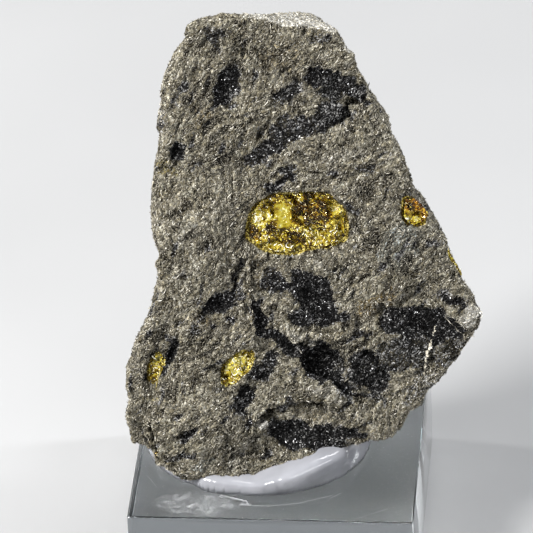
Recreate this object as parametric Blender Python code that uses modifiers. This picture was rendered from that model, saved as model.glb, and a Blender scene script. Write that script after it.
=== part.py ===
# A broken piece of coaly sandstone with lenses of golden resin, held by white putty on a clear square base.
# World frame: metres, +Z up, the origin at the centre of the base's underside, the base's front edge at -Y.
# Rock frame: X runs across the broken front face, Y goes into the rock, Z runs up the face.

import math

import bmesh
import bpy
from mathutils import Matrix, Vector, noise

MM = 0.001
GAP = 0.3 * MM
SPECIMEN = "plaffeiite_specimen"
CUTTERS = "pocket_cutters"

# Display base: clear acrylic cut to a stock square
BASE_WIDTH = 31.75 * MM
BASE_HEIGHT = 12.7 * MM
BASE_EDGE_ROUNDING = 0.4 * MM

# Where the rock's face stands: its foot, how far it leans back, and how it is turned and rolled
FACE_FOOT = Vector((-5.4, -10.3, 14.0)) * MM
FACE_LEAN = math.radians(18.0)
FACE_TURN = math.radians(6.5)
FACE_ROLL = math.radians(2.8)

# Rock body
ROCK_THICKNESS = 21.0 * MM
ROCK_REACH = 60.0 * MM
BACK_SCALE = 0.86
BACK_CENTRE = Vector((8.0, 0.0, 24.0)) * MM
GRAIN_SIZE = 0.8 * MM
KEPT_TRIANGLES = 0.42

# Front outline of the rock, from the top left corner round the right side, in millimetres across and up
FACE_OUTLINE = (
    (-3.7, 53.6), (2.0, 54.6), (8.8, 54.6), (10.3, 52.9), (11.5, 52.0), (12.3, 51.0),
    (15.1, 46.9), (15.9, 44.0), (17.3, 42.2), (18.9, 38.6), (20.1, 34.7), (22.5, 30.2),
    (25.1, 25.9), (25.6, 23.2), (28.1, 19.1), (28.3, 17.4), (26.3, 15.3), (24.8, 12.4),
    (21.3, 8.4), (18.5, 4.4), (15.5, 3.0), (3.2, -1.0), (-5.3, -1.2), (-7.3, 1.0),
    (-7.9, 3.6), (-10.5, 3.8), (-11.1, 7.2), (-10.3, 8.8), (-11.1, 11.8), (-9.8, 15.0),
    (-8.7, 17.2), (-7.2, 22.2), (-7.3, 26.4), (-8.0, 30.8), (-7.9, 34.8), (-6.9, 38.5),
    (-7.3, 43.8), (-6.2, 47.1), (-4.4, 50.2),
)

# Flat breaks that bound the rock: a point on each in millimetres, and the direction it faces
BREAKS = {
    "top_right": ((5.0, 0.0, 52.8), (0.14, 0.10, 0.97)),
    "top_right_corner": ((11.8, 0.0, 51.8), (0.80, 0.24, 0.55)),
    "top_left": ((-4.0, 0.0, 52.8), (-0.11, 0.37, 0.92)),
    "underside_left": ((-1.5, 0.0, -0.4), (0.05, 0.31, -0.95)),
    "underside_right": ((3.2, 0.0, -0.25), (0.29, 0.30, -0.91)),
    "flange_foot": ((-5.2, 0.0, 0.05), (-0.54, 0.26, -0.80)),
    "back": ((4.0, 17.0, 15.0), (0.05, 1.0, 0.20)),
    "back_right": ((20.0, 11.0, 22.0), (0.75, 1.0, 0.10)),
    "back_left": ((-8.0, 9.0, 25.0), (-0.80, 1.0, 0.05)),
    "back_foot": ((4.0, 18.2, 8.0), (-0.10, 1.0, -0.30)),
    "back_top_corner": ((-2.0, 8.6, 46.0), (-0.35, 0.9, 0.45)),
}

# Ledges on the face: the path of each, how far the rock drops on its right-hand side, and how wide the
# dropped ground is before it has risen again, in millimetres
LEDGES = {
    "resin_seam": (((2.9, 15.0), (2.9, 20.9), (2.6, 26.6)), 0.7, 5.0),
    "flange_step": (
        ((-5.0, 16.3), (-6.6, 12.5), (-7.4, 9.8), (-7.9, 7.6), (-8.6, 6.0), (-7.9, 2.0)), 1.3, 6.0),
    "lower_overhang": (((3.7, 6.0), (5.2, 7.8), (8.1, 8.5), (10.7, 8.6), (14.2, 6.4)), 1.5, 7.0),
    "black_hollow_rim": (
        ((18.2, 9.4), (15.5, 9.8), (12.7, 11.2), (10.5, 12.6), (8.4, 13.2)), 1.3, 5.0),
    "notch_layer": (
        ((16.8, 44.0), (13.4, 43.5), (13.8, 41.6), (12.5, 39.8), (9.0, 38.9), (5.5, 37.2)), 0.8, 5.0),
    "upper_streak": (((8.8, 47.4), (11.4, 46.8), (14.3, 45.0)), 0.5, 3.5),
    "rusty_ledge": (((15.0, 18.4), (17.5, 19.8), (20.0, 21.8)), 0.9, 4.5),
    "patch_crevice": (((13.6, 17.5), (10.5, 16.9), (8.2, 17.1)), 0.9, 5.0),
    "black_band": (((3.2, 20.4), (5.5, 17.6), (8.0, 15.9), (11.2, 15.6)), 0.9, 3.5),
    "lower_right_layer": (((23.9, 12.9), (20.5, 10.6), (17.6, 9.0)), 0.7, 4.0),
}

# Rounded hollows and, with a negative depth, lumps: centre, half length, half width, tilt in degrees, depth
HOLLOWS = {
    "upper_coal": ((0.3, 45.0), 3.4, 1.7, 62.0, 0.6),
    "left_coal": ((-5.1, 37.9), 1.5, 1.2, 70.0, 0.6),
    "middle_coal": ((10.2, 21.2), 4.6, 3.0, -55.0, 0.7),
    "seam_coal": ((-0.4, 20.6), 2.6, 1.8, 35.0, 0.8),
    "seam_slit": ((1.8, 24.6), 1.8, 0.7, 70.0, 0.8),
    "lower_trough": ((3.4, 10.8), 4.2, 1.8, 52.0, 0.9),
    "right_coal": ((22.0, 18.0), 4.8, 2.2, -20.0, 0.9),
    "black_hollow": ((12.0, 13.6), 3.4, 1.8, -25.0, 1.0),
    "left_pit": ((-3.9, 5.3), 1.9, 0.9, 35.0, 0.7),
    "seam_pit": ((-0.8, 17.8), 1.6, 1.0, 20.0, 0.8),
    "foot_coal": ((8.5, 4.8), 4.6, 2.0, -20.0, 0.4),
    "foot_bulge": ((-2.6, 6.4), 6.6, 5.0, 40.0, -1.1),
    "foot_knob": ((5.9, 6.2), 1.3, 1.2, 0.0, -0.8),
    "overhang_lump": ((11.8, 10.3), 5.4, 2.2, -12.0, -0.6),
    "notch_lump": ((16.0, 40.6), 4.4, 2.6, -62.0, -0.6),
    "left_swell": ((-3.4, 27.5), 9.0, 5.0, 85.0, -0.6),
    "right_swell": ((18.0, 27.5), 7.0, 6.0, 50.0, -0.5),
}

# Broken grain of the stone: how coarse each noise is and how far it moves the surface
LAYER_STEP = 1.1 * MM
LAYER_SIZE = 9.0 * MM
LAYERS_IN_SWELL = 2.2
LAYER_RISE = (0.25, 0.75)
COARSE_SIZE = 4.2 * MM
COARSE_HEIGHT = 0.34 * MM
FINE_SIZE = 1.7 * MM
FINE_HEIGHT = 0.16 * MM

# How squarely a surface must face the front or the ground to be treated as such, from nothing to fully
FRONT_FACING = (0.3, 0.8)
DOWN_FACING = (0.5, 0.85)
FRONT_LAYER_LOSS = 0.8
LEDGE_FADE = 0.3

# Resin lenses: outline in millimetres on the face, depth into the rock, and how far the crown stands out
LENSES = {
    "resin_centre_lens": {
        "outline": ((2.6, 28.1), (2.6, 29.6), (2.9, 31.1), (3.7, 32.2), (5.1, 32.9), (8.8, 33.1),
                    (11.4, 33.2), (11.8, 32.3), (12.6, 31.9), (13.3, 30.6), (13.4, 28.4), (12.9, 27.2),
                    (10.7, 26.8), (9.2, 26.9), (7.6, 26.3), (5.6, 26.4), (4.2, 26.8), (3.3, 27.5)),
        "depth": 2.6, "crown": 0.35},
    "resin_lower_lens": {
        "outline": ((-0.3, 11.6), (0.1, 13.2), (1.1, 14.4), (2.9, 15.2), (3.1, 14.0), (2.5, 12.7),
                    (1.3, 11.6), (0.1, 10.6)),
        "depth": 1.5, "crown": 0.25},
    "resin_left_lens": {
        "outline": ((-8.4, 12.6), (-7.9, 14.1), (-6.7, 14.4), (-7.1, 12.9), (-7.5, 11.3), (-8.0, 9.9),
                    (-8.3, 11.2)),
        "depth": 1.2, "crown": 0.2},
    "resin_right_edge_lens": {
        "outline": ((19.7, 32.4), (20.8, 32.5), (21.6, 31.8), (22.4, 30.6), (21.7, 29.9), (20.4, 29.4),
                    (19.6, 30.4)),
        "depth": 1.6, "crown": 0.2},
}

# Shape of a lens: its crown and bottom as shares of the outline, where its rim lies as a share of the
# depth, and how far a pocket's cutter stands out in front of the face
CROWN_SHARE = 0.72
BOTTOM_SHARE = 0.5
RIM_LEVEL = 0.12
POCKET_REACH = 3.0 * MM

# Thin resin sliver on the right side break, just behind the front edge
RIM_PLACE = Vector((25.0, 1.7, 25.0)) * MM
RIM_FACING = Vector((0.89, 0.10, 0.44))
RIM_RUN = Vector((0.44, 0.0, -0.89))
RIM_LENGTH = 4.4 * MM
RIM_WIDTH = 1.3 * MM
RIM_DEPTH = 1.1 * MM
RIM_CROWN = 0.3 * MM
RIM_POINTS = 12

# Putty: a pressed pad between the base and the rock's underside
PUTTY_CENTRE = Vector((-2.4, -1.3, 13.5)) * MM
PUTTY_LENGTH = 26.0 * MM
PUTTY_WIDTH = 21.4 * MM
PUTTY_HALF_HEIGHT = 6.4 * MM
PRESSED_BREAKS = ("underside_left", "underside_right", "flange_foot")

# Colour, roughness, and for what light passes through, the transmission and refractive index
FINISHES = {
    "grey_sandstone": {"colour": (0.17, 0.16, 0.14), "roughness": 0.85},
    "golden_resin": {"colour": (0.85, 0.60, 0.06), "roughness": 0.12, "transmission": 0.85, "ior": 1.54},
    "white_putty": {"colour": (0.80, 0.82, 0.85), "roughness": 0.18},
    "clear_acrylic": {"colour": (0.95, 0.97, 0.98), "roughness": 0.04, "transmission": 1.0, "ior": 1.49},
}


def clear_scene():
    for thing in list(bpy.data.objects):
        bpy.data.objects.remove(thing, do_unlink=True)


def new_collection(name):
    group = bpy.data.collections.new(name)
    bpy.context.scene.collection.children.link(group)
    return group


def finish_material(name):
    look = FINISHES[name]
    material = bpy.data.materials.new(name)
    material.use_nodes = True
    shader = material.node_tree.nodes["Principled BSDF"]
    shader.inputs["Base Color"].default_value = (*look["colour"], 1.0)
    shader.inputs["Roughness"].default_value = look["roughness"]
    shader.inputs["Metallic"].default_value = 0.0
    if "transmission" in look:
        shader.inputs["Transmission Weight"].default_value = look["transmission"]
        shader.inputs["IOR"].default_value = look["ior"]
    return material


def place_object(name, shape, group, material=None):
    """Turns a bmesh into a named object in a collection."""
    mesh = bpy.data.meshes.new(name)
    shape.to_mesh(mesh)
    shape.free()
    thing = bpy.data.objects.new(name, mesh)
    group.objects.link(thing)
    if material:
        mesh.materials.append(material)
    return thing


def hide_cutter(cutter):
    cutter.hide_render = True
    cutter.display_type = "WIRE"


def smooth_step(low, high, value):
    t = min(max((value - low) / (high - low), 0.0), 1.0)
    return t * t * (3.0 - 2.0 * t)


def face_point(across, up, depth=0.0):
    return Vector((across, depth, up)) * MM


def ledge_drop(path, drop, width, x, z):
    """Depth below the unbroken face at one place: full at the ledge's foot, nothing above the ledge."""
    nearest = None
    for (ax, az), (bx, bz) in zip(path, path[1:]):
        run = Vector((bx - ax, bz - az))
        reach = Vector((x - ax, z - az))
        along = min(max(reach.dot(run) / run.length_squared, 0.0), 1.0)
        off = reach - along * run
        low_side = reach.x * run.y - reach.y * run.x > 0.0
        if nearest is None or off.length < nearest[0]:
            nearest = (off.length, low_side)
    distance, low_side = nearest
    if not low_side or distance > width:
        return 0.0
    ends = min((Vector((x, z)) - Vector(end)).length for end in (path[0], path[-1]))
    return drop * (1.0 - distance / width) * smooth_step(0.0, LEDGE_FADE * width, ends)


def hollow_depth(centre, half_length, half_width, tilt, depth, x, z):
    turn = math.radians(tilt)
    along = (x - centre[0]) * math.cos(turn) + (z - centre[1]) * math.sin(turn)
    aside = (z - centre[1]) * math.cos(turn) - (x - centre[0]) * math.sin(turn)
    reach = (along / half_length) ** 2 + (aside / half_width) ** 2
    return depth * (1.0 - reach) ** 2 if reach < 1.0 else 0.0


def relief(x, z):
    """How deep the face lies below its plane at a place in millimetres; the answer is in metres."""
    ledges = sum(ledge_drop(*ledge, x, z) for ledge in LEDGES.values())
    hollows = sum(hollow_depth(*hollow, x, z) for hollow in HOLLOWS.values())
    return (ledges + hollows) * MM


def broken_layers(place):
    """Terraces that a bedded stone breaks into, as a height out of the surface."""
    swell = noise.noise(place / LAYER_SIZE) * LAYERS_IN_SWELL
    step = math.floor(swell)
    return LAYER_STEP * (step + smooth_step(*LAYER_RISE, swell - step) - swell)


def weather_rock(mesh):
    """Moves the even surface into ledges, hollows, terraces and broken grain."""
    mesh.update()
    normals = [vertex.normal.copy() for vertex in mesh.vertices]
    for vertex, normal in zip(mesh.vertices, normals):
        place = vertex.co.copy()
        facing_front = smooth_step(*FRONT_FACING, -normal.y)
        facing_down = smooth_step(*DOWN_FACING, -normal.z)
        coarse = noise.noise(place / COARSE_SIZE) * COARSE_HEIGHT
        fine = noise.noise(place / FINE_SIZE) * FINE_HEIGHT
        layers = broken_layers(place) * (1.0 - FRONT_LAYER_LOSS * facing_front)
        rough = (coarse + fine + layers) * (1.0 - facing_down)
        vertex.co = place + normal * rough
        vertex.co.y += relief(place.x / MM, place.z / MM) * facing_front


def cut_flat(shape, point, facing):
    """Cuts away what lies past a plane and closes the cut."""
    bmesh.ops.bisect_plane(
        shape, geom=shape.verts[:] + shape.edges[:] + shape.faces[:], dist=1e-7,
        plane_co=point, plane_no=facing, clear_outer=True)
    bmesh.ops.holes_fill(shape, edges=[edge for edge in shape.edges if edge.is_boundary])


def cut_breaks(shape, names, gap=0.0):
    for name in names:
        point, facing = BREAKS[name]
        outward = Vector(facing).normalized()
        cut_flat(shape, Vector(point) * MM + outward * gap, outward)


def rock_blank():
    """The outline pushed back into the rock, narrowing a little, and cut off by the flat breaks."""
    shape = bmesh.new()
    outline = [shape.verts.new(face_point(*point)) for point in FACE_OUTLINE]
    front = shape.faces.new(outline)
    pushed = bmesh.ops.extrude_face_region(shape, geom=[front])
    back = [item for item in pushed["geom"] if isinstance(item, bmesh.types.BMVert)]
    bmesh.ops.translate(shape, verts=back, vec=Vector((0.0, ROCK_THICKNESS, 0.0)))
    bmesh.ops.scale(
        shape, verts=back, vec=(BACK_SCALE, 1.0, BACK_SCALE), space=Matrix.Translation(-BACK_CENTRE))
    bmesh.ops.recalc_face_normals(shape, faces=shape.faces[:])
    cut_breaks(shape, BREAKS)
    bmesh.ops.recalc_face_normals(shape, faces=shape.faces[:])
    return shape


def lens_shape(outline, depth, crown, grow=0.0, reach=0.0):
    """A lens from its outline: crown in front, full width at the rim, half width at the bottom.

    The outline lies on the plane Y = 0 with its centre at the origin. With grow and reach it makes the
    pocket's cutter, wider and deeper by one and longer to the front by the other.
    """
    shape = bmesh.new()
    wide = [point + point.normalized() * grow for point in outline]
    crown_share = CROWN_SHARE if reach == 0.0 else 1.0
    levels = ((-crown - reach, crown_share), (RIM_LEVEL * depth, 1.0), (depth + grow, BOTTOM_SHARE))
    rings = [[shape.verts.new(point * scale + Vector((0.0, level, 0.0))) for point in wide]
             for level, scale in levels]
    for ring in rings:
        for start, end in zip(ring, ring[1:] + ring[:1]):
            shape.edges.new((start, end))
    for near, far in zip(rings, rings[1:]):
        edges = [edge for edge in shape.edges
                 if all(vert in near for vert in edge.verts) or all(vert in far for vert in edge.verts)]
        bmesh.ops.bridge_loops(shape, edges=edges)
    shape.faces.new(rings[0])
    shape.faces.new(rings[-1])
    bmesh.ops.recalc_face_normals(shape, faces=shape.faces[:])
    return shape


def lens_seats():
    """Name, centred outline, depth, crown, place and turn of every lens, all in the rock frame."""
    seats = []
    for name, lens in LENSES.items():
        points = [face_point(*point) for point in lens["outline"]]
        centre = sum(points, Vector()) / len(points)
        outline = [point - centre for point in points]
        centre.y = relief(centre.x / MM, centre.z / MM)
        seats.append((name, outline, lens["depth"] * MM, lens["crown"] * MM, Matrix.Translation(centre)))
    turns = [2.0 * math.pi * step / RIM_POINTS for step in range(RIM_POINTS)]
    outline = [Vector((0.5 * RIM_WIDTH * math.cos(turn), 0.0, 0.5 * RIM_LENGTH * math.sin(turn)))
               for turn in turns]
    inward = -RIM_FACING.normalized()
    across = inward.cross(RIM_RUN).normalized()
    along = across.cross(inward)
    turn = Matrix((across, inward, along)).transposed().to_4x4()
    seats.append(("resin_right_rim", outline, RIM_DEPTH, RIM_CROWN, Matrix.Translation(RIM_PLACE) @ turn))
    return seats


def build_rock(frame, parts, cutters):
    """The rock with a pocket for each lens, and the lenses in their pockets."""
    blank = place_object("rock_blank", rock_blank(), cutters)
    grain = blank.modifiers.new("Grain", "REMESH")
    grain.mode = "VOXEL"
    grain.voxel_size = GRAIN_SIZE
    settled = blank.evaluated_get(bpy.context.evaluated_depsgraph_get())
    mesh = bpy.data.meshes.new_from_object(settled)
    bpy.data.objects.remove(blank, do_unlink=True)
    mesh.name = "sandstone_matrix"
    weather_rock(mesh)
    rock = bpy.data.objects.new("sandstone_matrix", mesh)
    mesh.materials.append(finish_material("grey_sandstone"))
    parts.objects.link(rock)
    rock.parent = frame
    thin = rock.modifiers.new("Fewer faces", "DECIMATE")
    thin.ratio = KEPT_TRIANGLES
    resin = finish_material("golden_resin")
    for name, outline, depth, crown, seat in lens_seats():
        lens = place_object(name, lens_shape(outline, depth, crown), parts, resin)
        cutter = place_object(
            name + "_pocket", lens_shape(outline, depth, crown, grow=GAP, reach=POCKET_REACH), cutters)
        hide_cutter(cutter)
        for thing in (lens, cutter):
            thing.parent = frame
            thing.matrix_local = seat
        pocket = rock.modifiers.new(name, "BOOLEAN")
        pocket.operation = "DIFFERENCE"
        pocket.solver = "EXACT"
        pocket.object = cutter
    return rock


def build_putty(frame, parts, cutters):
    """A squashed ball of putty, flat on the base, with the rock's underside pressed into it."""
    shape = bmesh.new()
    bmesh.ops.create_uvsphere(shape, u_segments=40, v_segments=22, radius=1.0)
    bmesh.ops.scale(
        shape, verts=shape.verts[:], vec=(0.5 * PUTTY_LENGTH, 0.5 * PUTTY_WIDTH, PUTTY_HALF_HEIGHT))
    bmesh.ops.translate(shape, verts=shape.verts[:], vec=PUTTY_CENTRE)
    cut_flat(shape, Vector((0.0, 0.0, BASE_HEIGHT + GAP)), Vector((0.0, 0.0, -1.0)))
    bmesh.ops.recalc_face_normals(shape, faces=shape.faces[:])
    putty = place_object("mounting_putty", shape, parts, finish_material("white_putty"))
    pressing = bmesh.new()
    bmesh.ops.create_cube(pressing, size=2.0 * ROCK_REACH)
    cut_breaks(pressing, PRESSED_BREAKS, gap=GAP)
    bmesh.ops.recalc_face_normals(pressing, faces=pressing.faces[:])
    press = place_object("putty_press", pressing, cutters)
    hide_cutter(press)
    press.parent = frame
    pressed = putty.modifiers.new("Pressed by the rock", "BOOLEAN")
    pressed.operation = "DIFFERENCE"
    pressed.solver = "EXACT"
    pressed.object = press
    return putty


def build_base(parts):
    shape = bmesh.new()
    bmesh.ops.create_cube(shape, size=1.0)
    bmesh.ops.scale(shape, verts=shape.verts[:], vec=(BASE_WIDTH, BASE_WIDTH, BASE_HEIGHT))
    bmesh.ops.translate(shape, verts=shape.verts[:], vec=(0.0, 0.0, 0.5 * BASE_HEIGHT))
    base = place_object("acrylic_base", shape, parts, finish_material("clear_acrylic"))
    edges = base.modifiers.new("Polished edges", "BEVEL")
    edges.width = BASE_EDGE_ROUNDING
    edges.segments = 2
    return base


def build_specimen():
    clear_scene()
    parts = new_collection(SPECIMEN)
    cutters = new_collection(CUTTERS)
    frame = bpy.data.objects.new("rock_frame", None)
    frame.rotation_mode = "YXZ"
    frame.location = FACE_FOOT
    frame.rotation_euler = (-FACE_LEAN, FACE_ROLL, FACE_TURN)
    parts.objects.link(frame)
    bpy.context.view_layer.update()
    build_rock(frame, parts, cutters)
    build_putty(frame, parts, cutters)
    build_base(parts)


build_specimen()
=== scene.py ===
import math
import random

import bmesh
import bpy
import numpy as np
from mathutils import Matrix, Vector, noise
from mathutils.bvhtree import BVHTree


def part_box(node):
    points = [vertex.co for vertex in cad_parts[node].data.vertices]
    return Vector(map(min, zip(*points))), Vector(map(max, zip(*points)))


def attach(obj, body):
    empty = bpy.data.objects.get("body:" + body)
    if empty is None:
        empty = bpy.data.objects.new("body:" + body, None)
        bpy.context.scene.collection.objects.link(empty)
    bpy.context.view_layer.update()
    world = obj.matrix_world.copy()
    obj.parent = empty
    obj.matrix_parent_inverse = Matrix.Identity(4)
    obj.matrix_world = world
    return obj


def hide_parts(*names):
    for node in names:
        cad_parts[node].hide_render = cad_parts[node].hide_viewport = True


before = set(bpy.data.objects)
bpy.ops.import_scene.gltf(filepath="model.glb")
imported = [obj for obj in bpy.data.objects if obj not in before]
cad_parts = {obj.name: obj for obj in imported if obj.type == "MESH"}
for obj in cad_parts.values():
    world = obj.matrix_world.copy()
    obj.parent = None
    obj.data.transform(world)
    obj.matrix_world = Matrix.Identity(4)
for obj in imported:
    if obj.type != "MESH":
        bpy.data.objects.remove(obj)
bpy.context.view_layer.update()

mm = 0.001
joinWithin = 0.002        # corners of a CAD shape nearer than this are one, in millimetres
stage = bpy.context.scene.collection


# The stone's broken face: x runs across it, y into the stone and z up it, all in millimetres
faceFrame = {"foot": (-5.4, -10.3, 14.0), "lean": 18.0, "turn": 6.5, "roll": 2.8}


def faceMatrix():
    turn = Matrix.Rotation(math.radians(faceFrame["turn"]), 4, "Z")
    lean = Matrix.Rotation(math.radians(-faceFrame["lean"]), 4, "X")
    roll = Matrix.Rotation(math.radians(faceFrame["roll"]), 4, "Y")
    return Matrix.Translation(Vector(faceFrame["foot"]) * mm) @ turn @ lean @ roll @ Matrix.Scale(mm, 4)


faceToWorld = faceMatrix()
worldToFace = faceToWorld.inverted()
faceTurn = faceToWorld.to_3x3().normalized()


def softStep(low, high, value):
    t = np.clip((value - low) / (high - low), 0.0, 1.0)
    return t * t * (3.0 - 2.0 * t)


def noiseAt(spots, size, shift=0.0):
    # one smooth noise value for each row of spots
    return np.array([noise.noise(spot) for spot in (spots / size + shift).tolist()])


def unit(rows):
    return rows / np.linalg.norm(rows, axis=1)[:, None]


def between(limits, part):
    return limits[0] + (limits[1] - limits[0]) * part


def columns(rows):
    return [np.array(column) for column in zip(*rows)]


def laidOn(outward, run):
    # the directions run, turned to lie on the surface that outward points out of
    return unit(run - (run * outward).sum(1)[:, None] * outward)


# One output of a node, with maths on it
class Wire:
    def __init__(self, graph, socket):
        self.graph = graph
        self.socket = socket

    def maths(self, operation, first, second):
        return self.graph.node("ShaderNodeMath", {"operation": operation}, {0: first, 1: second})

    def __add__(self, other):
        return self.maths("ADD", self, other)

    def __radd__(self, other):
        return self.maths("ADD", other, self)

    def __sub__(self, other):
        return self.maths("SUBTRACT", self, other)

    def __rsub__(self, other):
        return self.maths("SUBTRACT", other, self)

    def __mul__(self, other):
        return self.maths("MULTIPLY", self, other)

    def __rmul__(self, other):
        return self.maths("MULTIPLY", other, self)

    def __gt__(self, other):
        return self.maths("GREATER_THAN", self, other)

    def step(self, low, high):
        return self.graph.node(
            "ShaderNodeMapRange", {"interpolation_type": "SMOOTHSTEP"},
            {"Value": self, "From Min": low, "From Max": high})


# A material and its nodes
class Graph:
    def __init__(self, name):
        self.material = bpy.data.materials.new(name)
        self.material.use_nodes = True
        self.tree = self.material.node_tree
        self.tree.nodes.clear()

    def node(self, kind, settings=None, inputs=None, output=0):
        made = self.tree.nodes.new(kind)
        for key, value in (settings or {}).items():
            if key == "stops":
                self.setStops(made.color_ramp, value)
            else:
                setattr(made, key, value)
        for key, value in (inputs or {}).items():
            if isinstance(value, Wire):
                self.tree.links.new(value.socket, made.inputs[key])
            else:
                made.inputs[key].default_value = value
        return Wire(self, made.outputs[output])

    def setStops(self, ramp, stops):
        while len(ramp.elements) < len(stops):
            ramp.elements.new(1.0)
        for element, (position, colour) in zip(ramp.elements, stops):
            element.position = position
            element.color = (*colour, 1.0)

    def place(self):
        # the surface's place in millimetres
        raw = self.node("ShaderNodeTexCoord", output="Object")
        return self.node("ShaderNodeVectorMath", {"operation": "SCALE"}, {0: raw, "Scale": 1.0 / mm})

    def mask(self, name):
        return self.node("ShaderNodeAttribute", {"attribute_name": name}, output="Fac")

    def noise(self, place, size, detail=3.0, output="Fac"):
        return self.node(
            "ShaderNodeTexNoise", None, {"Vector": place, "Scale": 1.0 / size, "Detail": detail}, output)

    def cells(self, place, size, output="Distance"):
        return self.node("ShaderNodeTexVoronoi", None, {"Vector": place, "Scale": 1.0 / size}, output)

    def stretch(self, place, turn, length):
        # a place whose patterns run along one direction of the face
        return self.node(
            "ShaderNodeMapping", {"vector_type": "TEXTURE"},
            {"Vector": place, "Rotation": (0.0, -math.radians(turn), 0.0), "Scale": (length, 1.0, 1.0)})

    def sway(self, vector, colour, amount):
        # a vector moved by how far a colour is from middle grey
        spread = amount if isinstance(amount, Wire) else (amount,) * 3
        centred = self.node("ShaderNodeVectorMath", {"operation": "SUBTRACT"}, {0: colour, 1: (0.5, 0.5, 0.5)})
        return self.node(
            "ShaderNodeVectorMath", {"operation": "MULTIPLY_ADD"}, {0: centred, 1: spread, 2: vector})

    def warp(self, place, size, amount):
        return self.sway(place, self.noise(place, size, 1.0, "Color"), amount)

    def ramp(self, value, stops):
        return self.node("ShaderNodeValToRGB", {"stops": stops}, {"Fac": value})

    def blend(self, factor, first, second, mode="MIX"):
        colours = [value if isinstance(value, Wire) else (*value, 1.0) for value in (first, second)]
        return self.node(
            "ShaderNodeMix", {"data_type": "RGBA", "blend_type": mode},
            {0: factor, 6: colours[0], 7: colours[1]}, 2)

    def channel(self, colour, output):
        return self.node("ShaderNodeSeparateColor", None, {"Color": colour}, output)

    def facet(self, cellColour, amount):
        # every cell of a pattern gets its own tilted normal, as broken grains have
        tilted = self.sway(self.node("ShaderNodeNewGeometry", output="Normal"), cellColour, amount)
        return self.node("ShaderNodeVectorMath", {"operation": "NORMALIZE"}, {0: tilted})

    def bump(self, height, depth, strength, normal=None):
        inputs = {"Height": height, "Distance": depth * mm, "Strength": strength}
        if normal is not None:
            inputs["Normal"] = normal
        return self.node("ShaderNodeBump", None, inputs)

    def finish(self, sockets, volume=None):
        shader = self.node("ShaderNodeBsdfPrincipled", None, sockets)
        ends = {"Surface": shader}
        if volume is not None:
            ends["Volume"] = volume
        made = self.tree.nodes.new("ShaderNodeOutputMaterial")
        for key, wire in ends.items():
            self.tree.links.new(wire.socket, made.inputs[key])
        return self.material


def newPiece(name, mesh, material):
    piece = bpy.data.objects.new(name, mesh)
    stage.objects.link(piece)
    mesh.materials.clear()
    mesh.materials.append(material)
    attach(piece, "root")
    return piece


def shapeFrom(mesh):
    shape = bmesh.new()
    shape.from_mesh(mesh)
    return shape


def meshFrom(shape, name):
    mesh = bpy.data.meshes.new(name)
    shape.to_mesh(mesh)
    shape.free()
    return mesh


def treeOf(shape):
    tree = BVHTree.FromBMesh(shape)
    shape.free()
    return tree


def smoothOnce(shape):
    bmesh.ops.smooth_vert(
        shape, verts=shape.verts[:], factor=0.5, use_axis_x=True, use_axis_y=True, use_axis_z=True)


def cadCopy(node):
    # a CAD node's shape with its loose triangles joined
    shape = shapeFrom(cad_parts[node].data)
    bmesh.ops.remove_doubles(shape, verts=shape.verts[:], dist=joinWithin * mm)
    return shape


def remeshed(shape, name, voxel):
    holder = bpy.data.objects.new(name, meshFrom(shape, name))
    stage.objects.link(holder)
    grid = holder.modifiers.new("Grid", "REMESH")
    grid.mode = "VOXEL"
    grid.voxel_size = voxel * mm
    even = bpy.data.meshes.new_from_object(holder.evaluated_get(bpy.context.evaluated_depsgraph_get()))
    bpy.data.objects.remove(holder, do_unlink=True)
    even.name = name
    return even


def setMask(mesh, name, values):
    layer = mesh.attributes.new(name, "FLOAT", "POINT")
    layer.data.foreach_set("value", np.asarray(values, np.float32))


def getMask(mesh, name):
    values = np.empty(len(mesh.vertices), np.float32)
    mesh.attributes[name].data.foreach_get("value", values)
    return values


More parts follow.
